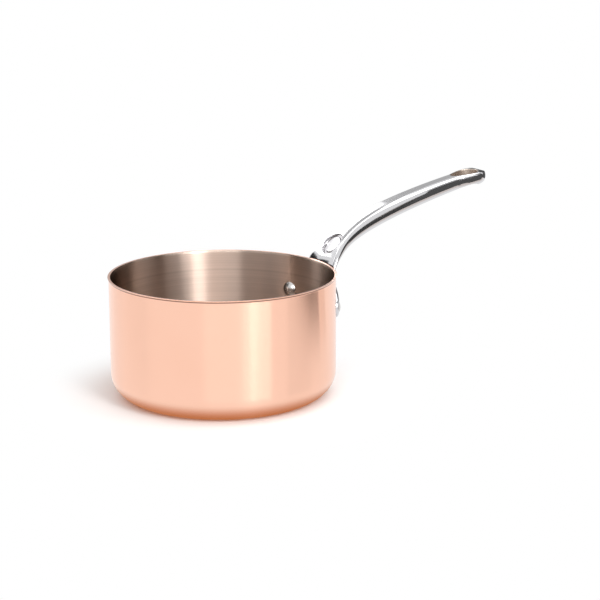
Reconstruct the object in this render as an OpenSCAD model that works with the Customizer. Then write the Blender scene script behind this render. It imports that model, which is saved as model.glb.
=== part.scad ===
// Copper saucepan: a straight-sided copper pan with a bonded stainless steel lining,
// and a long cast stainless steel handle held on by two solid rivets.
// Origin: centre of the base, on the face the pan stands on. +Z up, the handle points to +X.

/* [Pan] */
// Outside diameter across the lip
pan_d = 200; // [160:1:280]
// Height from the base to the lip
pan_h = 107.5; // [95:0.5:150]
// Outside radius of the corner between base and wall
corner_r = 22.5; // [12:0.5:30]
// Thickness of the copper
copper_t = 1.8; // [1:0.1:2.6]
// Thickness of the steel lining
steel_t = 0.2; // [0.2:0.05:0.6]
// How far the lip flares out past the wall
lip_flare = 0.75; // [0.4:0.05:1.2]
// Radius of the curve that turns the lip out
lip_r = 4; // [3:0.5:8]

/* [Handle] */
// Reach of the handle from the lip to the tip, level
handle_reach = 176; // [140:0.5:240]
// Height of the handle's tip above the lip
handle_rise = 69.5; // [50:0.5:90]
// Upward slope of the grip where it meets the eye, in degrees
grip_slope = 10.5; // [8:0.5:22]
// Upward slope of the tip, in degrees
tip_slope = 6; // [0:0.5:9]
// Pull of the curve at the neck: larger stands the neck up straighter
neck_pull = 38.5; // [28:0.5:48]
// Pull of the curve at the eye: larger makes the grip straighter
grip_pull = 57; // [50:1:80]
// Width of the neck where it passes the lip
neck_w = 45.8; // [40:0.2:54]
// Width of the grip just after the neck
grip_w = 23; // [18:0.2:28]
// Width of the grip just before the hanging eye
waist_w = 18.4; // [14:0.2:22]
// Width of the rounded end around the hanging eye
eye_w = 27.5; // [26:0.5:32]
// Thickness of the handle where it passes the lip
root_t = 5; // [4:0.5:8]
// Greatest thickness of the grip
grip_t = 16; // [12:0.5:22]
// Thickness at the tip
tip_t = 14; // [8:0.5:16]
// How far the flat top face stops short of the neck's full width, on each side
edge_in = 1.9; // [1.5:0.1:4]
// The same beside the grip, where the face is narrower
grip_edge_in = 3.9; // [3:0.1:5.4]
// The same beside the hanging eye
eye_edge_in = 2.2; // [1.5:0.1:4]
// Hollow across the neck's face, beyond the medallion seat
face_dip = 0.8; // [0:0.1:1.2]
// Clear gap between the neck and the pan's lip
lip_gap = 1.1; // [0.3:0.1:1.5]
// How far below the lip the neck leaves the pan's wall
root_drop = 6.5; // [3:0.5:8]

/* [Hanging eye] */
// Radius of the round end of the eye
eye_r = 10.5; // [8:0.1:10.6]
// Radius of the narrow end of the eye
eye_narrow_r = 6.8; // [4:0.1:7.6]
// Distance between the centres of the eye's two ends
eye_span = 9.5; // [7:0.5:16]
// Metal left between the eye and the tip
eye_end_wall = 8; // [6:0.5:10]

/* [Medallion seat] */
// Place of the round seat, as a share of the way from the neck's root to the eye
seat_at = 0.21; // [0.18:0.01:0.26]
// Radius of the round seat
seat_r = 11.6; // [10:0.1:12.5]
// Radius of the raised disc in it
disc_r = 8.2; // [5:0.2:9]
// Depth of the disc's face below the neck's face
disc_depth = 1.8; // [0.8:0.1:2.2]
// Depth of the groove round the disc, below the disc's face
groove_depth = 1.2; // [0.6:0.1:1.6]

/* [Rivet plate] */
// Height of the rivets above the base
rivet_z = 75; // [62:0.5:80]
// Angle from the handle's middle plane to each rivet, in degrees
rivet_angle = 23.4; // [20:0.1:28]
// Radius of the round lobe below and beside each rivet
lobe_r = 9.5; // [9:0.5:13]
// How high the wings stay wide before they draw in to the neck
wing_lift = 2.5; // [2:0.1:3.5]
// Thickness of the wings
wing_t = 4.2; // [3:0.1:5]
// Thickness left at the plate's rim
rim_t = 0.8; // [0.6:0.1:1.5]
// Width of the rounding along the plate's rim
rim_round = 10; // [6:0.5:12]
// How far the plate's lower edge bows down between the lobes
plate_bow = 3; // [1:0.5:6]

/* [Rivets] */
// Radius of the rivets' shanks
shank_r = 3.2; // [2:0.1:4]
// Clearance around a shank in its holes
shank_gap = 0.05; // [0.02:0.01:0.2]
// Radius of the head inside the pan
head_r = 6.9; // [5:0.1:8]
// Height of the head inside the pan
head_h = 3.3; // [1.5:0.1:4]
// Radius of the head on the plate
tail_r = 6.2; // [5:0.1:7]
// Height of the head on the plate
tail_h = 2.2; // [1.5:0.1:3]
// Depth of the spot face that this head sits in
tail_sink = 1.6; // [1.2:0.1:2]
// Clearance around that head in its spot face
tail_gap = 0.4; // [0.2:0.1:0.8]

/* [Hidden] */
$fn = 96;

rim_r = pan_d / 2;
wall_r = rim_r - lip_flare; // outside of the straight wall
wall_t = copper_t + steel_t;
inner_r = wall_r - wall_t; // inside of the lined wall
lip_h = sqrt(lip_r * lip_r - pow(lip_r - lip_flare, 2)); // height of the flared part
over = 1; // how far cutters pass the faces they cut

// Curve of the middle of the neck's and grip's top face, in the XZ plane
path_root = [rim_r + lip_gap, pan_h - root_drop];
path_tip = [rim_r + handle_reach, pan_h + handle_rise];
grip_way = [cos(grip_slope), sin(grip_slope)];
tip_way = [cos(tip_slope), sin(tip_slope)];
eye_len = eye_end_wall + eye_r + eye_span + eye_narrow_r; // from the tip back to the eye's narrow end
bend_share = 0.22; // share of that length over which the grip's slope runs on before it levels out
bend_len = bend_share * eye_len;
path_eye = path_tip - (eye_len - bend_len) * tip_way - bend_len * grip_way;
grip_path = [path_root, path_root + [0, neck_pull], path_eye - grip_pull * grip_way, path_eye];
eye_path = [path_eye, path_eye + bend_len * grip_way, path_tip - eye_len / 2 * tip_way, path_tip];
stand_off = path_root[0] - wall_r; // from the straight wall out to the neck's face
sink = 1.5; // how far the raw plate reaches into the wall before it is trimmed to it

// Plate: half its outline, in height and arc length across
lobe_u = wall_r * rivet_angle * PI / 180;
lobe_foot = rivet_z - lobe_r;
plate_foot = lobe_foot - plate_bow;
tail_seat = wall_r + wing_t - tail_sink; // distance of the rivets' spot faces from the pan's axis

// Pieces that the handle's loft is cut into
foot_steps = 5;
lobe_steps = 8;
wing_steps = 12;
grip_steps = 26;
eye_steps = 9;
nose_steps = 8;
face_pts = 8; // across the flat face
side_pts = 4; // from a crease to the widest line
under_pts = 30; // round the underside

function mix(a, b, k) = a + (b - a) * k;
function clamp01(k) = min(1, max(0, k));
function smooth(k) = let(c = clamp01(k)) c * c * (3 - 2 * c);
function ramp(t, span) = smooth((t - span[0]) / (span[1] - span[0]));
function fade(t, by) = exp(-pow(t / by, 2));
function round_edge(k) = let(c = 1 - clamp01(k)) sqrt(1 - c * c);
function cubic(p, t) =
    p[0] * pow(1 - t, 3) + 3 * p[1] * pow(1 - t, 2) * t + 3 * p[2] * (1 - t) * t * t + p[3] * pow(t, 3);
function cubic_way(p, t) =
    3 * ((p[1] - p[0]) * pow(1 - t, 2) + 2 * (p[2] - p[1]) * (1 - t) * t + (p[3] - p[2]) * t * t);

// The handle's path runs from 0 at the root to 1 at the eye's narrow end and 2 at the tip
function path_at(t) = t < 1 ? cubic(grip_path, t) : cubic(eye_path, t - 1);
function path_angle(t) =
    let(way = t < 1 ? cubic_way(grip_path, t) : cubic_way(eye_path, t - 1)) atan2(way[1], way[0]);

// Stretches of the path, from and to
nose_r = eye_w / 2;
nose_t = 2 - nose_r / (1.5 * eye_len); // where the outline starts to round off
flare_span = [0.88, nose_t]; // the grip widens to the eye
inset_span = [0.45, 0.85]; // the flat face draws in
dip_span = [0.15, 0.3]; // the neck's face hollows
dip_end_span = [0.42, 0.62]; // and levels again
neck_fade = 0.28; // the neck has mostly drawn in to the grip's width by here
wrap_fade = 0.15; // and has lost the round of the pan's wall by here

// Half width, thickness, inset and hollow of the flat face, and curvature across, along the path
swell = [1.13 * grip_t, 1.075 * grip_t]; // middle controls of the thickness, which peaks near grip_t
eye_deep = mix(grip_t, tip_t, 0.9); // thickness at the eye's narrow end
function grip_half(t) =
    mix(grip_w, waist_w, min(t, 1)) / 2
    + (neck_w - grip_w) / 2 * fade(t, neck_fade)
    + (eye_w - waist_w) / 2 * ramp(t, flare_span);
function grip_thick(t) =
    t < 1 ? cubic([root_t, swell[0], swell[1], eye_deep], t) : mix(eye_deep, tip_t, smooth(t - 1));
function face_in(t) =
    mix(mix(edge_in, grip_edge_in, ramp(t, inset_span)), eye_edge_in, ramp(t, flare_span));
function face_hollow(t) = face_dip * ramp(t, dip_span) * (1 - ramp(t, dip_end_span));
function wrap(t) = fade(t, wrap_fade) / path_root[0];

// Bends a section point [across, up] about a line above it, by the curvature k
function bend(p, k) =
    k < 0.00001 ? p :
    let(a = p[0] * k * 180 / PI, r = 1 / k - p[1]) [r * sin(a), 1 / k - r * cos(a)];
function placed(points, at, angle, k) =
    [for (p = points) let(q = bend(p, k)) [at[0] - q[1] * sin(angle), q[0], at[1] + q[1] * cos(angle)]];

// A section runs across the flat face, down one side, round the underside and up the other
belly = 0.3; // depth of the widest line, as a share of the thickness
function grip_points(half, deep, inset, dip) =
    let(
        flat = half - inset,
        turn = acos(flat / half),
        widest = belly * deep,
        rise = widest / sin(turn)
    )
    concat(
        [for (i = [0:face_pts]) let(u = 1 - 2 * i / face_pts) [-flat * u, dip * (u * u - 1)]],
        [for (i = [1:side_pts]) let(a = turn * (1 - i / side_pts)) [half * cos(a), rise * sin(a) - widest]],
        [for (i = [1:under_pts - 1]) let(a = 180 * i / under_pts)
            [half * cos(a), -widest - (deep - widest) * sin(a)]],
        [for (i = [0:side_pts - 1]) let(a = turn * i / side_pts) [-half * cos(a), rise * sin(a) - widest]]
    );

// Plate: distance in from its rim, and thickness off the wall with the spine that leads to the neck
spine_reach = [0.8 * neck_w, 0.6 * neck_w]; // half width of the spine, at the foot and at the root
function foot_edge(u) = plate_foot + plate_bow * pow(min(u, lobe_u) / lobe_u, 2);
function rim_in(u, z, half) =
    u > lobe_u && z < rivet_z ? lobe_r - norm([u - lobe_u, z - rivet_z]) : min(half - u, z - foot_edge(u));
function spine(u, z) =
    let(k = (z - plate_foot) / (path_root[1] - plate_foot), reach = mix(spine_reach[0], spine_reach[1], k))
    (stand_off + root_t - wing_t) * k * k * pow(clamp01(1 - pow(u / reach, 2)), 2);
function plate_thick(u, z, half) =
    rim_t + (wing_t + spine(u, z) - rim_t) * round_edge(rim_in(u, z, half) / rim_round);
function plate_points(z, half) =
    let(back = stand_off + sink, edge = stand_off - rim_t)
    concat(
        [for (i = [0:face_pts]) [half * (2 * i / face_pts - 1), back]],
        [for (i = [1:side_pts]) [half, mix(back, edge, i / side_pts)]],
        [for (i = [1:under_pts - 1]) let(u = half * cos(180 * i / under_pts))
            [u, stand_off - plate_thick(abs(u), z, half)]],
        [for (i = [0:side_pts - 1]) [-half, mix(edge, back, i / side_pts)]]
    );

// Half the plate's outline as [height, half width]: the bowed foot, the lobe and the wing
wing_h = path_root[1] - rivet_z;
plate_half = concat(
    [for (i = [1:foot_steps - 1]) let(k = i / foot_steps) [plate_foot + plate_bow * k * k, lobe_u * k]],
    [for (i = [0:lobe_steps]) let(a = 90 * i / lobe_steps)
        [rivet_z - lobe_r * cos(a), lobe_u + lobe_r * sin(a)]],
    [for (i = [1:wing_steps - 1]) let(k = i / wing_steps)
        [rivet_z + wing_h * k, mix(neck_w / 2, lobe_u + lobe_r, pow(1 - pow(k, wing_lift), 3))]]
);
neck_taper = (swell[0] - root_t) / neck_pull / root_t; // how fast the neck thickens at its root
plate_rings = [for (p = plate_half)
    let(
        k = smooth((p[0] - rivet_z) / wing_h),
        wing = plate_points(p[0], p[1]),
        neck = grip_points(p[1], root_t * exp((p[0] - path_root[1]) * neck_taper), edge_in, 0),
        back = (stand_off + sink) * (1 - pow(k, 8))
    )
    placed(
        [for (i = [0:len(wing) - 1])
            mix(wing[i], neck[i] + [0, i <= face_pts ? back : 0], k * k)],
        [path_root[0], p[0]], 90, wrap(0)
    )];

grip_ts = concat(
    [for (i = [0:grip_steps - 1]) i / grip_steps],
    [for (i = [0:eye_steps - 1]) mix(1, nose_t, i / eye_steps)]
);
grip_rings = [for (t = grip_ts)
    placed(
        grip_points(grip_half(t), grip_thick(t), face_in(t), face_hollow(t)),
        path_at(t), path_angle(t), wrap(t)
    )];

// Nose: the plan is a circle, and face and underside draw together towards the tip
nose_turn = 84; // the last ring's place on that circle, in degrees
nose_mid = -0.42; // height of the line they draw in to, as a share of the thickness
nose_rings = [for (i = [0:nose_steps])
    let(
        a = nose_turn * i / nose_steps,
        t = mix(nose_t, 2, sin(a)),
        deep = grip_thick(t),
        close = pow(1 - pow(sin(a), 4), 0.5),
        full = grip_points(nose_r, deep, eye_edge_in, 0)
    )
    placed(
        [for (p = full) [p[0] * cos(a), mix(nose_mid * deep, p[1], close)]],
        path_at(t), path_angle(t), 0
    )];

// Closed solid through rings that all have the same number of points, its ends closed by fans
module loft(rings) {
    n = len(rings[0]);
    last = len(rings) - 1;
    start = n * len(rings); // the fans' centres follow the rings' points
    centres = [for (ring = [rings[0], rings[last]]) [for (p = ring) 1 / n] * ring];
    sides = [for (i = [0:last - 1], j = [0:n - 1])
        let(a = i * n + j, b = i * n + (j + 1) % n)
        each [[a, b, b + n], [a, b + n, a + n]]];
    ends = [for (j = [0:n - 1]) let(k = (j + 1) % n)
        each [[k, j, start], [last * n + j, last * n + k, start + 1]]];
    polyhedron(points = concat([for (ring = rings) each ring], centres), faces = concat(sides, ends));
}

// Outline of the pan, moved in by inset and run up past the lip
module pan_outline(inset, up) {
    r = wall_r - inset;
    lip_z = pan_h - lip_h;
    translate([0, inset]) square([wall_r - corner_r, pan_h + up - inset]);
    translate([0, corner_r]) square([r, pan_h + up - corner_r]);
    translate([wall_r - corner_r, corner_r]) circle(corner_r - inset);
    difference() {
        translate([r - over, lip_z]) square([lip_flare + over, lip_h + up]);
        translate([wall_r + lip_r, lip_z]) circle(lip_r + inset);
    }
}

// One layer of the pan's wall, between two distances in from its outside
module pan_layer(outside, inside) {
    rotate_extrude() difference() {
        pan_outline(outside, 0);
        pan_outline(inside, over);
    }
}

// Puts its children at a rivet: +X runs out along the rivet, zero on the pan's axis
module at_rivet(side) {
    rotate([0, 0, side * rivet_angle]) translate([0, 0, rivet_z]) children();
}

module rivet_hole(side) {
    at_rivet(side) translate([inner_r - over, 0, 0]) rotate([0, 90, 0])
        cylinder(r = shank_r + shank_gap, h = tail_seat - inner_r + 2 * over);
}

// Half of a domed head that stands on the XY plane
module dome(r, h) {
    ball = (r * r + h * h) / (2 * h);
    rotate_extrude() intersection() {
        translate([0, h - ball]) circle(ball);
        square([r, h]);
    }
}

module copper_shell() {
    color("#d98a63") difference() {
        pan_layer(0, copper_t);
        for (side = [-1, 1]) rivet_hole(side);
    }
}

module steel_lining() {
    color("#b9b3ab") difference() {
        pan_layer(copper_t, wall_t);
        for (side = [-1, 1]) rivet_hole(side);
    }
}

// Hanging eye: a drop shape with its narrow end towards the pan
module eye_outline() {
    lean = (eye_r - eye_narrow_r) / eye_span;
    way = [-lean, sqrt(1 - lean * lean)];
    foot = [-eye_span, 0];
    circle(eye_r);
    translate(foot) circle(eye_narrow_r);
    polygon([
        eye_r * way, foot + eye_narrow_r * way,
        foot + eye_narrow_r * [way[0], -way[1]], eye_r * [way[0], -way[1]]
    ]);
}

module eye_hole() {
    place = path_tip - (eye_end_wall + eye_r) * tip_way;
    translate([place[0], 0, place[1]]) rotate([0, -tip_slope, 0])
        linear_extrude(3 * grip_t, center = true) eye_outline();
}

// Round seat on the neck's face, with a plain raised disc in it
module medallion_seat() {
    place = path_at(seat_at);
    floor_z = -disc_depth - groove_depth;
    wall_lean = 0.5;
    translate([place[0], 0, place[1]]) rotate([0, -path_angle(seat_at), 0]) rotate_extrude() polygon([
        [0, -disc_depth], [disc_r, -disc_depth], [disc_r + wall_lean, floor_z],
        [seat_r - wall_lean, floor_z], [seat_r, -disc_depth], [seat_r, root_t], [0, root_t]
    ]);
}

module spot_face(side) {
    at_rivet(side) translate([tail_seat, 0, 0]) rotate([0, 90, 0])
        cylinder(r = tail_r + tail_gap, h = root_t);
}

module handle() {
    color("#c9ccd1") difference() {
        loft(concat(plate_rings, grip_rings, nose_rings));
        cylinder(r = wall_r, h = path_root[1], $fn = 360);
        medallion_seat();
        eye_hole();
        for (side = [-1, 1]) {
            rivet_hole(side);
            spot_face(side);
        }
    }
}

module rivet(side) {
    // head inside the pan, pressed to the round of the wall
    intersection() {
        at_rivet(side) translate([inner_r, 0, 0]) rotate([0, -90, 0]) dome(head_r, head_h);
        cylinder(r = inner_r, h = pan_h, $fn = 720);
    }
    at_rivet(side) {
        translate([inner_r - head_h / 2, 0, 0]) rotate([0, 90, 0])
            cylinder(r = shank_r, h = tail_seat - inner_r + (head_h + tail_h) / 2);
        translate([tail_seat, 0, 0]) rotate([0, 90, 0]) dome(tail_r, tail_h);
    }
}

module rivet_left() {
    color("#d4d6da") rivet(1);
}

module rivet_right() {
    color("#d4d6da") rivet(-1);
}

copper_shell();
steel_lining();
handle();
rivet_left();
rivet_right();
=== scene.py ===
import math

import bmesh
import bpy
from mathutils import Matrix, Vector


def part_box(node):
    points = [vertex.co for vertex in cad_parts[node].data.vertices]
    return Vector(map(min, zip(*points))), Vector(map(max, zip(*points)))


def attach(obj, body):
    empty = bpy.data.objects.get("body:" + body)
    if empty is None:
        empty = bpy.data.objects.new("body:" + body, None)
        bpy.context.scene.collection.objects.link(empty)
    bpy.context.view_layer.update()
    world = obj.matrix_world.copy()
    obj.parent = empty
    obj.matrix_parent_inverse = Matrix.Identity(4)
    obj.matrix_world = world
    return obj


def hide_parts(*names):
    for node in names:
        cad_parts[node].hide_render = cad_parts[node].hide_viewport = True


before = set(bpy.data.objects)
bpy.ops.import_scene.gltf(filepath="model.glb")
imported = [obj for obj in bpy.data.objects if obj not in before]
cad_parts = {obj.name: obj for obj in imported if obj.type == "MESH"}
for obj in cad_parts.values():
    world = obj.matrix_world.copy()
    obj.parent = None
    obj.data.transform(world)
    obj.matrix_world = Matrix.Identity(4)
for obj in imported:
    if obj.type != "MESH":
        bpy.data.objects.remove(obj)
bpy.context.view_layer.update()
print("frame loaded:", ", ".join(sorted(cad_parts)))
mm = 0.001
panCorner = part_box("copper_shell")[1]
rimRadius = panCorner.x
panHeight = panCorner.z
white = (1.0, 1.0, 1.0, 1.0)
upright = 0.25  # quarter turn, with which a turned finish draws reflections up and down


# shader maths

class Signal:
    # a node's socket, so that maths can be written straight on it
    def __init__(self, finish, socket):
        self.finish = finish
        self.socket = socket

    def maths(self, operation, *values):
        return self.finish.node("ShaderNodeMath", {"operation": operation}, dict(enumerate(values)))

    def __add__(self, other):
        return self.maths("ADD", self, other)

    def __radd__(self, other):
        return self.maths("ADD", other, self)

    def __sub__(self, other):
        return self.maths("SUBTRACT", self, other)

    def __rsub__(self, other):
        return self.maths("SUBTRACT", other, self)

    def __mul__(self, other):
        return self.maths("MULTIPLY", self, other)

    def __rmul__(self, other):
        return self.maths("MULTIPLY", other, self)


class Finish:
    # a material or a world whose nodes are made one call at a time
    def __init__(self, owner):
        self.owner = owner
        owner.use_nodes = True
        self.tree = owner.node_tree
        self.tree.nodes.clear()

    def node(self, kind, settings=None, inputs=None, output=0):
        made = self.tree.nodes.new(kind)
        for key, value in (settings or {}).items():
            if key == "stops":
                ramp = made.color_ramp.elements
                while len(ramp) < len(value):
                    ramp.new(1.0)
                for stop, (place, level) in zip(ramp, value):
                    stop.position = place
                    stop.color = (level, level, level, 1.0)
            else:
                setattr(made, key, value)
        for key, value in (inputs or {}).items():
            if isinstance(value, Signal):
                self.tree.links.new(value.socket, made.inputs[key])
            else:
                made.inputs[key].default_value = value
        return Signal(self, made.outputs[output]) if len(made.outputs) else made

    def vector(self, operation, *values, output=0):
        return self.node("ShaderNodeVectorMath", {"operation": operation}, dict(enumerate(values)), output)

    def mix(self, amount, first, second):
        # inputs 6 and 7 are the two colours, and output 2 is the mixed one
        return self.node("ShaderNodeMix", {"data_type": "RGBA"}, {0: amount, 6: first, 7: second}, 2)

    def noise(self, vector, scale, detail=2.0, roughness=0.5):
        return self.node("ShaderNodeTexNoise", None,
                         {"Vector": vector, "Scale": scale, "Detail": detail, "Roughness": roughness})

    def smooth(self, value, start, end, first, last):
        # first below start, last above end, and a soft step between them
        sockets = {"Value": value, "From Min": start, "From Max": end, "To Min": first, "To Max": last}
        return self.node("ShaderNodeMapRange", {"interpolation_type": "SMOOTHSTEP"}, sockets)

    def ramp(self, value, start, end):
        # 0 below start, 1 above end, and a straight slope between them
        return self.node("ShaderNodeValToRGB", {"stops": ((start, 0.0), (end, 1.0))}, {"Fac": value})

    def bump(self, height, distance):
        return self.node("ShaderNodeBump", None, {"Height": height, "Distance": distance, "Strength": 1.0})


def metal(name, build):
    # build(finish, place) gives the inputs of one Principled shader
    finish = Finish(bpy.data.materials.new(name))
    place = finish.node("ShaderNodeTexCoord", None, None, "Object")
    shader = finish.node("ShaderNodeBsdfPrincipled", None, {"Metallic": 1.0, **build(finish, place)})
    finish.node("ShaderNodeOutputMaterial", None, {"Surface": shader})
    return finish.owner


def aroundAxis(finish, place):
    # distance from the pan's axis and height, as a vector that doesn't change round a turned face
    flat = finish.vector("MULTIPLY", place, (1.0, 1.0, 0.0))
    radius = finish.vector("LENGTH", flat, output="Value")
    height = finish.node("ShaderNodeSeparateXYZ", None, {0: place}, "Z")
    return finish.node("ShaderNodeCombineXYZ", None, {"X": radius, "Z": height})


copperLook = {
    "colour": (1.000, 0.612, 0.465, 1.0),
    "worn": (0.950, 0.540, 0.390, 1.0),  # slightly duller and redder patches
    "patchScale": 14.0,
    "patchSpan": (0.35, 0.75),
    "patchShare": 0.25,
    "roughness": 0.19,
    "lineRough": 0.03,
    "patchRough": 0.02,
    "spread": 1.0,  # how strongly the turned finish draws reflections out
    "lineScale": 2600.0,
    "lineDepth": 0.004 * mm,
    "lipPaintedShade": (0.300, 0.160, 0.115, 1.0),  # painted shade: a dark line just under the lip, where the lip's rounding reflects dark
    "lipShadeReach": (1.7 * mm, 0.7 * mm),  # from and to, below the lip
    "lipShadeFade": (0.3 * mm, 0.2 * mm),
}


# 1 on the painted shade line under the lip, 0 elsewhere
def lipShadeMask(finish, place):
    height = finish.node("ShaderNodeSeparateXYZ", None, {0: place}, "Z")
    low, high = (panHeight - reach for reach in copperLook["lipShadeReach"])
    lowFade, highFade = copperLook["lipShadeFade"]
    above = finish.smooth(height, low, low + lowFade, 0.0, 1.0)
    below = finish.smooth(height, high, high + highFade, 1.0, 0.0)
    return above * below


def copperNodes(finish, place):
    turned = aroundAxis(finish, place)
    lines = finish.noise(turned, copperLook["lineScale"], 3.0, 0.6)
    patches = finish.noise(place, copperLook["patchScale"], 3.0, 0.55)
    tone = copperLook["patchShare"] * finish.ramp(patches, *copperLook["patchSpan"])
    face = finish.mix(tone, copperLook["colour"], copperLook["worn"])
    polish = copperLook["roughness"] + copperLook["lineRough"] * (lines - 0.5)
    return {
        # the painted shade line under the lip, mixed over the copper
        "Base Color": finish.mix(lipShadeMask(finish, place), face, copperLook["lipPaintedShade"]),
        "Roughness": polish + copperLook["patchRough"] * (patches - 0.5),
        "Anisotropic": copperLook["spread"],
        "Anisotropic Rotation": upright,
        "Normal": finish.bump(lines, copperLook["lineDepth"]),
    }


liningLook = {
    "colour": (0.565, 0.448, 0.382, 1.0),
    "deep": (0.440, 0.345, 0.290, 1.0),  # the tool's darker turning lines
    "deepShare": 0.6,
    "deepSpan": (0.42, 0.68),
    "grazing": (0.25, 0.21, 0.18, 1.0),
    "roughness": 0.33,
    "lineRough": 0.05,
    "bandRough": 0.04,
    "spread": 1.0,
    "lineScale": 1500.0,
    "lineDepth": 0.01 * mm,
    "ringScale": 420.0,
    "bandScale": 160.0,
}


def liningNodes(finish, place):
    turned = aroundAxis(finish, place)
    lines = finish.noise(turned, liningLook["lineScale"], 4.0, 0.65)
    bands = finish.noise(turned, liningLook["bandScale"])
    rings = finish.noise(turned, liningLook["ringScale"], 3.0, 0.6)
    deep = liningLook["deepShare"] * finish.ramp(rings, *liningLook["deepSpan"])
    polish = liningLook["roughness"] + liningLook["lineRough"] * (lines - 0.5)
    return {
        "Base Color": finish.mix(deep, liningLook["colour"], liningLook["deep"]),
        "Roughness": polish + liningLook["bandRough"] * (bands - 0.5),
        "Specular Tint": liningLook["grazing"],
        "Anisotropic": liningLook["spread"],
        "Anisotropic Rotation": upright,
        "Normal": finish.bump(lines, liningLook["lineDepth"]),
    }


rivetLook = {
    "colour": (0.620, 0.600, 0.585, 1.0),
    "roughness": 0.28,
    "grainRough": 0.12,
    "grainScale": 1200.0,
    "grainDepth": 0.01 * mm,
}


def rivetNodes(finish, place):
    grain = finish.noise(place, rivetLook["grainScale"], 3.0, 0.6)
    return {
        "Base Color": rivetLook["colour"],
        "Roughness": rivetLook["roughness"] + rivetLook["grainRough"] * (grain - 0.5),
        "Normal": finish.bump(grain, rivetLook["grainDepth"]),
    }


copper = metal("satinCopper", copperNodes)
liningSteel = metal("turnedSteel", liningNodes)
rivetSteel = metal("rivetSteel", rivetNodes)
print("finishes of pan and rivets made")


# meshes

sharpAngle = math.radians(32)  # edges sharper than this stay crisp


def keepPiece(bm, name, material):
    mesh = bpy.data.meshes.new(name)
    bm.to_mesh(mesh)
    bm.free()
    mesh.shade_smooth()
    mesh.set_sharp_from_angle(angle=sharpAngle)
    mesh.materials.append(material)
    piece = bpy.data.objects.new(name, mesh)
    bpy.context.scene.collection.objects.link(piece)
    return piece


def roundCorner(bm, corner, size, steps):
    if size > 0:
        bmesh.ops.bevel(bm, geom=[corner], offset=size, offset_type="OFFSET", affect="VERTICES",
                        segments=steps, profile=0.5, material=-1)


def spun(outline, turns):
    # outline: (radius, height, size of the rounded corner, steps of it), drawn from axis to axis
    bm = bmesh.new()
    corners = [bm.verts.new((radius, 0, height)) for radius, height, size, steps in outline]
    for first, second in zip(corners, corners[1:]):
        bm.edges.new((first, second))
    for corner, (radius, height, size, steps) in zip(corners, outline):
        roundCorner(bm, corner, size, steps)
    bmesh.ops.spin(bm, geom=bm.verts[:] + bm.edges[:], cent=(0, 0, 0), axis=(0, 0, 1),
                   angle=2 * math.pi, steps=turns, use_merge=True)
    bmesh.ops.remove_doubles(bm, verts=bm.verts, dist=1e-7)
    bmesh.ops.recalc_face_normals(bm, faces=bm.faces)
    return bm


# pan

pan = {
    "corner": 22.5 * mm,  # outside, between base and wall
    "copper": 1.8 * mm,
    "steel": 0.2 * mm,
    "flare": 0.75 * mm,  # how far the lip stands out past the wall
    "lipCurve": 4.0 * mm,
    "softEdge": 0.35 * mm,  # rounding of the copper's lip
    "steelEdge": 0.08 * mm,
    "cornerSteps": 28, "lipSteps": 6, "edgeSteps": 4,
    "turns": 288,
}
wallRadius = rimRadius - pan["flare"]
lipHeight = math.sqrt(pan["lipCurve"] ** 2 - (pan["lipCurve"] - pan["flare"]) ** 2)


def panHalf(inset, edge):
    # half outline moved in by inset, from the axis out and up to the lip
    wall = wallRadius - inset
    curve = pan["lipCurve"] + inset
    turn = math.asin(lipHeight / curve)
    reach = curve * math.tan(turn / 2)
    bent = reach * 0.98  # a bevel can't take the whole edge
    return [
        (0.0, inset, 0.0, 0),
        (wall, inset, pan["corner"] - inset, pan["cornerSteps"]),
        (wall, panHeight - lipHeight + reach, bent, pan["lipSteps"]),
        (wall + curve * (1 - math.cos(turn)), panHeight, edge, pan["edgeSteps"]),
    ]


def panLayer(name, material, start, end, startEdge, endEdge):
    # a layer of the wall, from one depth below the outside to another
    outline = panHalf(start, startEdge) + panHalf(end, endEdge)[::-1]
    return keepPiece(spun(outline, pan["turns"]), name, material)


steelStart = pan["copper"]
steelEnd = pan["copper"] + pan["steel"]
copperPan = panLayer("copperPan", copper, 0.0, steelStart, pan["softEdge"], 0.0)
steelLining = panLayer("steelLining", liningSteel, steelStart, steelEnd, 0.0, pan["steelEdge"])
print("pan and lining spun")


# handle, worked in millimetres

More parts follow.
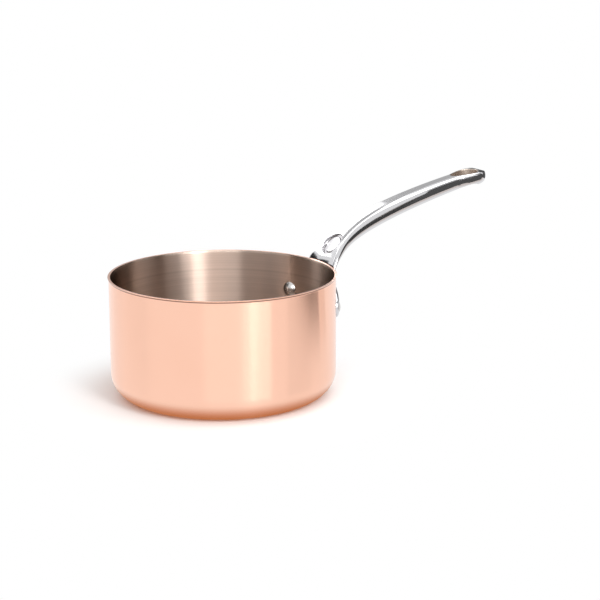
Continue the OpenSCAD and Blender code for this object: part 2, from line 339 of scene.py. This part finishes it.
handle = {
    # path of the face's middle line: 0 at the root, 1 at the eye's narrow end, 2 at the tip
    "reach": 176.0, "rise": 69.5, "gripSlope": 10.5, "tipSlope": 6.0,
    "neckPull": 38.5, "gripPull": 57.0, "lipGap": 1.1, "rootDrop": 6.5,
    "bendShare": 0.22,  # part of the eye's length over which the grip's slope runs on
    # widths and depths
    "neckWidth": 45.8, "gripWidth": 23.0, "waistWidth": 18.4, "eyeWidth": 27.5,
    "rootDeep": 5.0, "gripDeep": 16.0, "tipDeep": 14.0,
    "swell": (1.13, 1.075),  # pulls of the depth between root and eye, over gripDeep
    "eyeDeepShare": 0.9,  # how much of the way from gripDeep to tipDeep is made at the eye
    "belly": 0.3,  # the widest line, as a share of the depth
    "neckFade": 0.28, "wrapFade": 0.15,  # where the neck's width and its bend round the pan have faded
    # flat face: how far it stops short of each side, and its hollow
    "neckInset": 1.9, "gripInset": 3.9, "eyeInset": 2.2, "hollow": 0.8,
    "insetSpan": (0.45, 0.85), "hollowSpan": (0.15, 0.3), "levelSpan": (0.42, 0.62),
    "crease": 1.2,  # how far the softened crease runs into each face beside it
    # hanging eye and nose
    "eyeRadius": 10.5, "eyeNarrow": 6.8, "eyeSpan": 9.5, "eyeWall": 8.0, "eyeRound": 0.9,
    "flareAngles": (78, 60, 45, 30, 15, 0),  # round the hole's edges, from the face to the wall
    "eyeFlareFrom": 0.88,  # where the grip starts to widen to the eye
    "noseShare": 1.5, "noseLine": 0.42, "noseEnd": 88.5,  # start, height and last angle of the round end
    # medallion seat
    "seatAt": 0.21, "seatRadius": 11.6, "discRadius": 8.2, "discDepth": 1.8, "grooveDepth": 1.2,
    "seatSoft": 0.4, "seatDraft": 0.5,  # rounding of the groove's edges, and the lean of its sides
    # winged plate
    "rivetHeight": 75.0, "rivetAngle": math.radians(23.4), "lobeRadius": 9.5, "wingLift": 2.5,
    "wingThick": 4.2, "rimThick": 0.8, "rimRound": 10.0, "bow": 3.0,
    "spineReach": (0.8, 0.6),  # at the foot and at the neck, over neckWidth
    "tailRadius": 6.6, "tailSink": 1.6,
    # how fine the loft is: points across it and rings along it
    "facePoints": 26, "creasePoints": 3, "sidePoints": 9, "underPoints": 64,
    "footRings": 16, "lobeRings": 22, "wingRings": 30, "gripRings": 150, "eyeRings": 50, "noseRings": 28,
    "roundPoints": 40, "narrowPoints": 24,  # round the eye's two ends
    "seatTurns": 96, "seatSteps": 4, "tailTurns": 64,
    "clear": 8.0, "eyeClear": 3.0,  # how far the cutters stand out past the faces
}
pointCounts = [handle[key] for key in ("facePoints", "creasePoints", "sidePoints", "underPoints")]
rimMm = rimRadius / mm
wallMm = wallRadius / mm
heightMm = panHeight / mm


def blend(a, b, k):
    return a + (b - a) * k


def limited(k):
    return min(1.0, max(0.0, k))


def eased(t, start=0.0, end=1.0):
    k = limited((t - start) / (end - start))
    return k * k * (3 - 2 * k)


def fading(t, by):
    return math.exp(-(t / by) ** 2)


def heading(degrees):
    return Vector((math.cos(math.radians(degrees)), math.sin(math.radians(degrees))))


def onCurve(p, t):
    return p[0] * (1 - t) ** 3 + p[1] * (3 * (1 - t) ** 2 * t) + p[2] * (3 * (1 - t) * t * t) + p[3] * t ** 3


def curveWay(p, t):
    return (p[1] - p[0]) * (1 - t) ** 2 + (p[2] - p[1]) * (2 * (1 - t) * t) + (p[3] - p[2]) * t * t


pathRoot = Vector((rimMm + handle["lipGap"], heightMm - handle["rootDrop"]))
pathTip = Vector((rimMm + handle["reach"], heightMm + handle["rise"]))
gripWay = heading(handle["gripSlope"])
tipWay = heading(handle["tipSlope"])
eyeLength = handle["eyeWall"] + handle["eyeRadius"] + handle["eyeSpan"] + handle["eyeNarrow"]
bendLength = handle["bendShare"] * eyeLength
pathEye = pathTip - tipWay * (eyeLength - bendLength) - gripWay * bendLength
neckPoint = pathRoot + Vector((0, handle["neckPull"]))
gripPath = [pathRoot, neckPoint, pathEye - gripWay * handle["gripPull"], pathEye]
eyePath = [pathEye, pathEye + gripWay * bendLength, pathTip - tipWay * eyeLength / 2, pathTip]
standOff = pathRoot.x - wallMm
noseRadius = handle["eyeWidth"] / 2
noseStart = 2 - noseRadius / (handle["noseShare"] * eyeLength)
eyeDeep = blend(handle["gripDeep"], handle["tipDeep"], handle["eyeDeepShare"])
deepCurve = [handle["rootDeep"], *(share * handle["gripDeep"] for share in handle["swell"]), eyeDeep]


def pathAt(t):
    return onCurve(gripPath, t) if t < 1 else onCurve(eyePath, t - 1)


def pathAngle(t):
    way = curveWay(gripPath, t) if t < 1 else curveWay(eyePath, t - 1)
    return math.atan2(way.y, way.x)


def gripHalf(t):
    return (blend(handle["gripWidth"], handle["waistWidth"], min(t, 1.0)) / 2
            + (handle["neckWidth"] - handle["gripWidth"]) / 2 * fading(t, handle["neckFade"])
            + (handle["eyeWidth"] - handle["waistWidth"]) / 2 * eased(t, handle["eyeFlareFrom"], noseStart))


def gripDeep(t):
    return onCurve(deepCurve, t) if t < 1 else blend(eyeDeep, handle["tipDeep"], eased(t - 1))


def faceInset(t):
    beside = blend(handle["neckInset"], handle["gripInset"], eased(t, *handle["insetSpan"]))
    return blend(beside, handle["eyeInset"], eased(t, handle["eyeFlareFrom"], noseStart))


def faceHollow(t):
    return handle["hollow"] * eased(t, *handle["hollowSpan"]) * (1 - eased(t, *handle["levelSpan"]))


def wrapping(t):
    # how much the section still bends round the pan, which fades up the neck
    return fading(t, handle["wrapFade"]) / pathRoot.x


def gripSection(half, deep, inset, hollow):
    # across the flat face, round the soft crease, down one side, under and up again
    flat = half - inset
    turn = math.acos(flat / half)
    widest = handle["belly"] * deep
    rise = widest / math.sin(turn)
    soft = min(handle["crease"], inset / 3)
    pace = math.hypot(half * math.sin(turn), rise * math.cos(turn))
    sideTurn = turn - soft / pace
    face, crease, side, under = pointCounts
    edge = flat - soft
    points = []
    for i in range(face + 1):
        u = 2 * i / face - 1
        points.append(Vector((edge * u, hollow * (u * u - 1))))
    sidePoints = [Vector((half * math.cos(a), rise * math.sin(a) - widest))
                  for a in (sideTurn * (1 - i / side) for i in range(side + 1))]
    start, corner, end = points[-1], Vector((flat, 0.0)), sidePoints[0]
    for i in range(1, crease + 1):
        k = i / (crease + 1)
        points.append(start * (1 - k) ** 2 + corner * (2 * k * (1 - k)) + end * k * k)
    creaseSide = points[face + 1:]
    points += sidePoints
    for i in range(1, under):
        a = math.pi * i / under
        points.append(Vector((half * math.cos(a), -widest - (deep - widest) * math.sin(a))))
    points += [Vector((-p.x, p.y)) for p in sidePoints[::-1]]
    points += [Vector((-p.x, p.y)) for p in creaseSide[::-1]]
    return points


def placed(points, at, angle, wrap):
    ring = []
    for p in points:
        across, up = p
        if wrap > 1e-5:
            turned = across * wrap
            radius = 1 / wrap - up
            across, up = radius * math.sin(turned), 1 / wrap - radius * math.cos(turned)
        ring.append(Vector((at.x - up * math.sin(angle), across, at.y + up * math.cos(angle))))
    return ring


lobeAt = wallMm * handle["rivetAngle"]
lobeFoot = handle["rivetHeight"] - handle["lobeRadius"]
plateFoot = lobeFoot - handle["bow"]
plateBack = standOff - 0.02  # a hair off the wall
wingHeight = pathRoot.y - handle["rivetHeight"]
neckTaper = (deepCurve[1] - handle["rootDeep"]) / handle["neckPull"] / handle["rootDeep"]


def rimDistance(u, z, half):
    # from a point of the plate, u along its arc and z high, to the plate's outline
    if u > lobeAt and z < handle["rivetHeight"]:
        return handle["lobeRadius"] - math.hypot(u - lobeAt, z - handle["rivetHeight"])
    return min(half - u, z - plateFoot - handle["bow"] * (min(u, lobeAt) / lobeAt) ** 2)


def plateThick(u, z, half):
    k = (z - plateFoot) / (pathRoot.y - plateFoot)
    reach = blend(*handle["spineReach"], k) * handle["neckWidth"]
    spine = ((standOff + handle["rootDeep"] - handle["wingThick"]) * k * k
             * limited(1 - (u / reach) ** 2) ** 2)
    fromRim = 1 - limited(rimDistance(u, z, half) / handle["rimRound"])
    return blend(handle["rimThick"], handle["wingThick"] + spine, math.sqrt(1 - fromRim ** 2))


def plateSection(z, half):
    face, crease, side, under = pointCounts
    rim = standOff - handle["rimThick"]
    points = [Vector((half * (2 * i / face - 1), plateBack)) for i in range(face + 1)]
    steps = crease + side + 1
    edge = [Vector((half, blend(plateBack, rim, i / steps))) for i in range(1, steps + 1)]
    points += edge
    for i in range(1, under):
        u = half * math.cos(math.pi * i / under)
        points.append(Vector((u, standOff - plateThick(abs(u), z, half))))
    points += [Vector((-p.x, p.y)) for p in edge[::-1]]
    return points


def plateRing(z, half):
    k = eased(z, handle["rivetHeight"], pathRoot.y)
    wing = plateSection(z, half)
    neckDeep = handle["rootDeep"] * math.exp((z - pathRoot.y) * neckTaper)
    neck = gripSection(half, neckDeep, handle["neckInset"], 0.0)
    back = plateBack * (1 - k ** 8)  # the back leaves the wall only near the top
    onFace = handle["facePoints"]
    ring = [blend(w, n + Vector((0, back if i <= onFace else 0.0)), k * k)
            for i, (w, n) in enumerate(zip(wing, neck))]
    return placed(ring, Vector((pathRoot.x, z)), math.pi / 2, 1 / pathRoot.x)


def plateRings():
    # from the lower edge's middle, round the lobe and up the wing
    rings = []
    foot, lobe, wing = handle["footRings"], handle["lobeRings"], handle["wingRings"]
    for i in range(1, foot):
        rings.append(plateRing(plateFoot + handle["bow"] * (i / foot) ** 2, lobeAt * i / foot))
    for i in range(lobe + 1):
        a = math.pi / 2 * i / lobe
        rings.append(plateRing(handle["rivetHeight"] - handle["lobeRadius"] * math.cos(a),
                               lobeAt + handle["lobeRadius"] * math.sin(a)))
    for i in range(1, wing):
        k = i / wing
        spread = (1 - k ** handle["wingLift"]) ** 3
        rings.append(plateRing(handle["rivetHeight"] + wingHeight * k,
                               blend(handle["neckWidth"] / 2, lobeAt + handle["lobeRadius"], spread)))
    return rings


def gripRings():
    rings = []
    grip, eye = handle["gripRings"], handle["eyeRings"]
    for t in [i / grip for i in range(grip)] + [blend(1.0, noseStart, i / eye) for i in range(eye)]:
        section = gripSection(gripHalf(t), gripDeep(t), faceInset(t), faceHollow(t))
        rings.append(placed(section, pathAt(t), pathAngle(t), wrapping(t)))
    return rings


def noseRings():
    # the last section, drawn in to a round end
    rings = []
    for i in range(handle["noseRings"] + 1):
        a = math.radians(handle["noseEnd"]) * i / handle["noseRings"]
        t = blend(noseStart, 2.0, math.sin(a))
        deep = gripDeep(t)
        closing = math.sqrt(1 - math.sin(a) ** 4)
        section = [Vector((p.x * math.cos(a), blend(-handle["noseLine"] * deep, p.y, closing)))
                   for p in gripSection(noseRadius, deep, handle["eyeInset"], 0.0)]
        rings.append(placed(section, pathAt(t), pathAngle(t), 0.0))
    return rings


def lofted(rings):
    # the first ring is drawn, and each extrusion of it is moved to the next ring's place
    bm = bmesh.new()
    ring = [bm.verts.new(p) for p in rings[0]]
    edges = [bm.edges.new(pair) for pair in zip(ring, ring[1:] + ring[:1])]
    ends = [edges]
    for points in rings[1:]:
        made = bmesh.ops.extrude_edge_only(bm, edges=edges)["geom"]
        fresh = {item for item in made if isinstance(item, bmesh.types.BMVert)}
        ring = [next(e.other_vert(v) for e in v.link_edges if e.other_vert(v) in fresh) for v in ring]
        for v, p in zip(ring, points):
            v.co = p
        edges = [bm.edges.get(pair) for pair in zip(ring, ring[1:] + ring[:1])]
    ends.append(edges)
    for end in ends:
        cap = bmesh.ops.contextual_create(bm, geom=end)["faces"]
        bmesh.ops.poke(bm, faces=cap)
    bmesh.ops.recalc_face_normals(bm, faces=bm.faces)
    return bm


eyeCentre = pathTip - tipWay * (handle["eyeWall"] + handle["eyeRadius"])
eyeUp = Vector((-tipWay.y, tipWay.x))


def eyeDepths(along, across):
    # heights of the face and of the underside over the eye's own level plane
    low, high = 0.5, 2.0
    for halving in range(40):
        middle = (low + high) / 2
        if (pathAt(middle) - eyeCentre).dot(tipWay) < along:
            low = middle
        else:
            high = middle
    face = (pathAt(low) - eyeCentre).dot(eyeUp)
    deep = gripDeep(low)
    widest = handle["belly"] * deep
    share = limited(1 - (across / gripHalf(low)) ** 2)
    return face, face - widest - (deep - widest) * math.sqrt(share)


def arc(radius, start, end, steps):
    angles = (blend(start, end, i / steps) for i in range(steps + 1))
    return [Vector((math.cos(a), math.sin(a))) * radius for a in angles]


def eyeOutline(grow):
    # drop: the hull of a wide and a narrow circle, grown by the same distance all round
    lean = math.acos((handle["eyeRadius"] - handle["eyeNarrow"]) / handle["eyeSpan"])
    wide = arc(handle["eyeRadius"] + grow, lean - math.pi, math.pi - lean, handle["roundPoints"])
    narrow = arc(handle["eyeNarrow"] + grow, math.pi - lean, math.pi + lean, handle["narrowPoints"])
    return wide + [p - Vector((handle["eyeSpan"], 0)) for p in narrow]


def eyeCutter():
    # the hole, flared where it meets the face and the underside so that both edges are round
    soft = handle["eyeRound"]
    steps = [math.radians(a) for a in handle["flareAngles"]]
    flare = [(soft * (1 - math.cos(steps[0])), handle["eyeClear"])]
    flare += [(soft * (1 - math.cos(a)), soft * (math.sin(a) - 1)) for a in steps]
    inner = eyeOutline(0.0)
    rings = []
    for side, order in ((0, flare), (1, flare[::-1])):
        for grow, out in order:
            ring = []
            for p, q in zip(eyeOutline(grow), inner):
                up = eyeDepths(q.x, q.y)[side] + (out if side == 0 else -out)
                at = eyeCentre + tipWay * p.x + eyeUp * up
                ring.append(Vector((at.x, p.y, at.y)))
            rings.append(ring)
    return lofted(rings)


def seatCutter():
    # a round recess with a disc standing in it
    disc, seat = handle["discRadius"], handle["seatRadius"]
    soft, draft, steps = handle["seatSoft"], handle["seatDraft"], handle["seatSteps"]
    level = -handle["discDepth"]
    deepest = level - handle["grooveDepth"]
    top = handle["clear"]
    bm = spun([
        (0.0, level, 0.0, 0), (disc, level, soft, steps),
        (disc + draft, deepest, soft, steps), (seat - draft, deepest, soft, steps),
        (seat, level, 0.0, 0), (seat + draft / 2, top, 0.0, 0), (0.0, top, 0.0, 0),
    ], handle["seatTurns"])
    at = pathAt(handle["seatAt"])
    turn = Matrix.Rotation(-pathAngle(handle["seatAt"]), 4, "Y")
    bm.transform(Matrix.Translation((at.x, 0, at.y)) @ turn)
    return bm


def tailCutter(side):
    # the flat round seat of a rivet's outer head
    radius, top = handle["tailRadius"], handle["clear"]
    corners = ((0.0, 0.0), (radius, 0.0), (radius, top), (0.0, top))
    bm = spun([(*corner, 0.0, 0) for corner in corners], handle["tailTurns"])
    seat = wallMm + handle["wingThick"] - handle["tailSink"]
    out = Matrix.Rotation(math.pi / 2, 4, "Y")
    swing = Matrix.Rotation(side * handle["rivetAngle"], 4, "Z")
    bm.transform(swing @ Matrix.Translation((seat, 0, handle["rivetHeight"])) @ out)
    return bm


castLook = {
    "colour": (0.680, 0.675, 0.690, 1.0),
    "grain": (0.5, 0.5, 0.52, 1.0),  # faint duller grain
    "grainShare": 0.15,
    "grainScale": 1800.0,
    "roughness": 0.10,
    "grainRough": 0.05,
    "dimpleRough": 0.06,
    "dimpleScale": 90.0,
    "dimpleDepth": 0.015 * mm,
    "eyeWallPaintedTone": (0.520, 0.445, 0.385, 1.0),  # wall of the hanging eye: painted brownish reflection over its unpolished finish
    "asCastRoughness": 0.42,
    "eyeWallReach": (0.35 * mm, 0.55 * mm),  # how far it goes past the wall
    "groove": (0.330, 0.320, 0.330, 1.0),  # painted shade in the recessed ring round the plain medallion
    "disc": (0.500, 0.490, 0.505, 1.0),  # the plain medallion
    "satin": 0.27,
    "discEdge": 0.15,  # the tones change this far outside the disc and inside the seat, in millimetres
    "seatEdge": 0.25,
    "edgeFade": 0.2 * mm,
}


def inFrame(at):
    # from the handle's own plane, in millimetres, to the frame
    return Vector((at.x, 0, at.y)) * mm


def insideEye(finish, place):
    # 1 on the wall of the drop-shaped hole, which three circles follow closely
    moved = finish.vector("SUBTRACT", place, inFrame(eyeCentre))
    turned = finish.node("ShaderNodeVectorRotate", {"rotation_type": "Y_AXIS"},
                         {"Vector": moved, "Angle": math.radians(handle["tipSlope"])})
    flat = finish.vector("MULTIPLY", turned, (1.0, 1.0, 0.0))
    nearest = 1.0
    for k in (0.0, 0.5, 1.0):
        centre = Vector((-handle["eyeSpan"] * k, 0, 0)) * mm
        away = finish.vector("DISTANCE", flat, centre, output="Value")
        outside = away - blend(handle["eyeRadius"], handle["eyeNarrow"], k) * mm
        nearest = outside.maths("MINIMUM", outside, nearest)
    return finish.smooth(nearest, *castLook["eyeWallReach"], 1.0, 0.0)


def castNodes(finish, place):
    dimples = finish.noise(place, castLook["dimpleScale"])
    grain = finish.noise(place, castLook["grainScale"], 3.0, 0.6)
    eye = insideEye(finish, place)
    seatAngle = pathAngle(handle["seatAt"])
    inward = Vector((math.sin(seatAngle), -math.cos(seatAngle)))
    discCentre = pathAt(handle["seatAt"]) + inward * handle["discDepth"]
    away = finish.vector("DISTANCE", place, inFrame(discCentre), output="Value")
    discEdge = (handle["discRadius"] + castLook["discEdge"]) * mm
    seatEdge = (handle["seatRadius"] - castLook["seatEdge"]) * mm
    disc, seat = (finish.smooth(away, edge, edge + castLook["edgeFade"], 1.0, 0.0)
                  for edge in (discEdge, seatEdge))
    face = finish.mix(castLook["grainShare"] * grain, castLook["colour"], castLook["grain"])
    face = finish.mix(disc, face, castLook["disc"])
    # painted shade: the recessed groove between disc and seat is darkened
    face = finish.mix(seat - disc, face, castLook["groove"])
    polish = castLook["roughness"] + castLook["grainRough"] * (grain - 0.5)
    polish = polish + castLook["dimpleRough"] * (dimples - 0.5)
    polish = polish + seat * (castLook["satin"] - castLook["roughness"])
    return {
        # the eye's wall: a painted brownish reflection in the colour, and the unpolished finish's real
        # roughness
        "Base Color": finish.mix(eye, face, castLook["eyeWallPaintedTone"]),
        "Roughness": polish + eye * (castLook["asCastRoughness"] - castLook["roughness"]),
        "Normal": finish.bump(dimples, castLook["dimpleDepth"]),
    }


castSteel = metal("polishedCastSteel", castNodes)
print("cast steel finish made")


def joined(parts):
    whole = bmesh.new()
    for part in parts:
        mesh = bpy.data.meshes.new("part")
        part.to_mesh(mesh)
        part.free()
        whole.from_mesh(mesh)
        bpy.data.meshes.remove(mesh)
    return whole


def cutAway(bm, cutters):
    # Boolean modifier on a plain object, read back into a bmesh
    body = keepPiece(bm, "uncut", castSteel)
    tool = keepPiece(cutters, "cutters", castSteel)
    cut = body.modifiers.new("cut", "BOOLEAN")
    cut.operation = "DIFFERENCE"
    cut.solver = "EXACT"
    cut.object = tool
    result = bmesh.new()
    result.from_object(body, bpy.context.evaluated_depsgraph_get())
    for thing in (body, tool):
        data = thing.data
        bpy.data.objects.remove(thing)
        bpy.data.meshes.remove(data)
    return result


cutters = [eyeCutter(), seatCutter(), tailCutter(1), tailCutter(-1)]
handleMesh = cutAway(lofted(plateRings() + gripRings() + noseRings()), joined(cutters))
bmesh.ops.scale(handleMesh, vec=(mm, mm, mm), verts=handleMesh.verts)
castHandle = keepPiece(handleMesh, "castHandle", castSteel)
print("handle lofted:", len(castHandle.data.polygons), "faces")


# what stands for what

standIns = (
    (copperPan, "copper_shell", "copper"),
    (steelLining, "steel_lining", "lining_steel"),
    (castHandle, "handle", "cast_steel"),
)
for piece, node, slotName in standIns:
    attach(piece, "root")
    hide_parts(node)
for side in ("left", "right"):
    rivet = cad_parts["rivet_" + side]
    rivet.data.materials.clear()
    rivet.data.materials.append(rivetSteel)
print("pieces put in place")


# floor, light and camera

studio = {
    "floorRadius": 6.0,
    "floorSides": 96,
    "floorColour": (0.90, 0.90, 0.90, 1.0),
    "shadeReach": (0.105, 0.18),  # between these distances from the pan's axis the floor turns plain white
    "footShade": (0.086, 0.116),  # the metal sees its own glow and shade in the floor round the pan's foot
    "footColour": (0.55, 0.26, 0.12, 1.0),
    "worldLevel": 0.5,
    "floorDrop": 0.2 * mm,  # the floor lies this far under the base
    "cardDistance": 1.5,
    "lampPower": 4.0,  # watts per square metre that make a lamp's face as bright as a background of 1
}


def lightPath(finish, *kinds):
    # 1 for rays of these kinds
    rays = finish.node("ShaderNodeLightPath").socket.node
    seen = [Signal(finish, rays.outputs["Is " + kind + " Ray"]) for kind in kinds]
    return sum(seen[1:], seen[0])


def floorMaterial():
    finish = Finish(bpy.data.materials.new("paleFloor"))
    place = finish.node("ShaderNodeTexCoord", None, None, "Object")
    away = finish.vector("LENGTH", place, output="Value")
    clear = finish.smooth(away, *studio["shadeReach"], 0.0, 1.0)
    foot = finish.mix(finish.smooth(away, *studio["footShade"], 0.0, 1.0), studio["footColour"], white)
    plain = finish.node("ShaderNodeBsdfDiffuse", None, {"Color": studio["floorColour"]})
    bright = finish.node("ShaderNodeEmission", None, {"Color": foot, "Strength": 1.0})
    amount = clear * lightPath(finish, "Camera") + lightPath(finish, "Glossy", "Transmission")
    surface = finish.node("ShaderNodeMixShader", None, {0: amount, 1: plain, 2: bright})
    finish.node("ShaderNodeOutputMaterial", None, {"Surface": surface})
    return finish.owner


floorMesh = bmesh.new()
bmesh.ops.create_circle(floorMesh, cap_ends=True, segments=studio["floorSides"],
                        radius=studio["floorRadius"])
bmesh.ops.translate(floorMesh, vec=(0, 0, -studio["floorDrop"]), verts=floorMesh.verts)
floor = keepPiece(floorMesh, "floor", floorMaterial())


def softBox(name, azimuth, elevation, distance, size, level):
    # faces the pan's middle; level is how bright its face is, where the background is 1
    lamp = bpy.data.lights.new(name, "AREA")
    lamp.shape = "RECTANGLE"
    lamp.size, lamp.size_y = size
    lamp.energy = level * studio["lampPower"] * size[0] * size[1]
    thing = bpy.data.objects.new(name, lamp)
    a, e = math.radians(azimuth), math.radians(elevation)
    back = Vector((math.sin(a) * math.cos(e), -math.cos(a) * math.cos(e), math.sin(e)))
    thing.location = Vector(middle) + back * distance
    thing.rotation_euler = back.to_track_quat("Z", "Y").to_euler()
    bpy.context.scene.collection.objects.link(thing)


def flag(name, corners, level, tint=white):
    # studio card, most often a dark one, that only the polished metal sees
    finish = Finish(bpy.data.materials.new(name))
    glow = finish.node("ShaderNodeEmission", None, {"Color": tint, "Strength": level})
    finish.node("ShaderNodeOutputMaterial", None, {"Surface": glow})
    card = bmesh.new()
    bmesh.ops.contextual_create(card, geom=[card.verts.new(corner) for corner in corners])
    thing = keepPiece(card, name, finish.owner)
    thing.visible_camera = False
    thing.visible_diffuse = False
    thing.visible_shadow = False
    thing.visible_transmission = False


def standing(aim, azimuths, elevations):
    # corners of an upright card between two azimuths and two elevations, seen from aim
    left, right = (math.radians(azimuth) for azimuth in azimuths)
    low, high = (math.radians(elevation) for elevation in elevations)
    return [Vector(aim) + studio["cardDistance"] * Vector((math.sin(a), -math.cos(a), math.tan(e)))
            for a, e in ((left, low), (right, low), (right, high), (left, high))]


def between(start, end, low, high):
    # corners of an upright card over the line from start to end
    return [(*start, low), (*end, low), (*end, high), (*start, high)]


def lying(height, *corners):
    return [(x, y, height) for x, y in corners]


middle = (0.0, 0.0, 0.06)
grip = (0.2, 0.0, 0.15)
lamps = {  # azimuth and elevation in degrees, distance, width and height in metres, level
    "keyLight": (-15, 28, 1.7, (1.95, 0.84), 2.4),
    "coreLight": (-0.5, 30, 1.6, (0.39, 0.86), 6.6),
    "stripLight": (8.5, 5, 1.65, (0.63, 0.26), 3.8),
    "topLight": (60, 74, 1.5, (0.9, 0.9), 2.0),
    "backLight": (177, 39, 1.6, (1.30, 0.52), 1.6),
    "fillLight": (-154, 27, 1.6, (0.34, 0.62), 1.7),
}
for name, settings in lamps.items():
    softBox(name, *settings)

flags = {  # corners and level, and a tint where it isn't grey
    "frontFlag": (standing(grip, (31, 65), (-5, 37)), 0.06),
    "frontHighFlag": (standing(grip, (31, 65), (37, 52)), 0.4),
    "sideFlag": (standing(middle, (84, 138), (5, 50)), 0.1),
    "backFlag": (standing(grip, (140, 186), (-2, 29)), 0.55),
    "leftFlag": (standing(middle, (-142, -106), (4, 50)), 0.02),
    "leftLowFlag": (standing(middle, (-160, -142), (-5, 8)), 0.06),
    "tipFlag": (between((0.236, -0.062), (0.35, -0.062), 0.10, 0.21), 0.1),
    "endFlag": (between((0.35, -0.062), (0.35, 0.03), 0.14, 0.21), 0.1),
    "tableFlag": (lying(0.001, (0.32, -0.10), (0.31, -0.16), (0.40, -0.33), (0.64, -0.68), (1.05, -1.40),
                        (1.50, -1.10), (1.20, -0.60), (0.46, -0.13)), 0.06),
    "tableEdge": (lying(0.0005, (0.29, -0.03), (0.27, -0.16), (0.34, -0.36), (0.56, -0.72), (0.95, -1.45),
                        (1.75, -1.00), (1.70, -0.35), (0.55, -0.03)), 0.85, (1.0, 0.91, 0.86, 1.0)),
}
for name, settings in flags.items():
    flag(name, *settings)


def paleWorld():
    # dim for the light it gives, and plain white where it is seen straight or in metal
    finish = Finish(bpy.data.worlds.new("studio"))
    dim = finish.node("ShaderNodeBackground", None, {"Color": white, "Strength": studio["worldLevel"]})
    bright = finish.node("ShaderNodeBackground", None, {"Color": white, "Strength": 1.0})
    amount = lightPath(finish, "Camera", "Glossy", "Transmission")
    sky = finish.node("ShaderNodeMixShader", None, {0: amount, 1: dim, 2: bright})
    finish.node("ShaderNodeOutputWorld", None, {"Surface": sky})
    return finish.owner


bpy.context.scene.world = paleWorld()

view = {
    "place": Vector((-0.7220, -1.3869, 0.4734)),
    "way": Vector((0.4849, 0.8405, -0.2418)),
    "roll": math.radians(-0.16),
    "lens": 110.2,
    "sensor": 36.0,
}
camera = bpy.data.objects.new("camera", bpy.data.cameras.new("camera"))
camera.data.lens = view["lens"]
camera.data.sensor_width = view["sensor"]
camera.location = view["place"]
aim = view["way"].to_track_quat("-Z", "Y").to_matrix()
camera.rotation_euler = (aim @ Matrix.Rotation(view["roll"], 3, "Z")).to_euler()
bpy.context.scene.collection.objects.link(camera)
bpy.context.scene.camera = camera
bpy.context.scene.view_settings.view_transform = "Standard"
print("studio set")
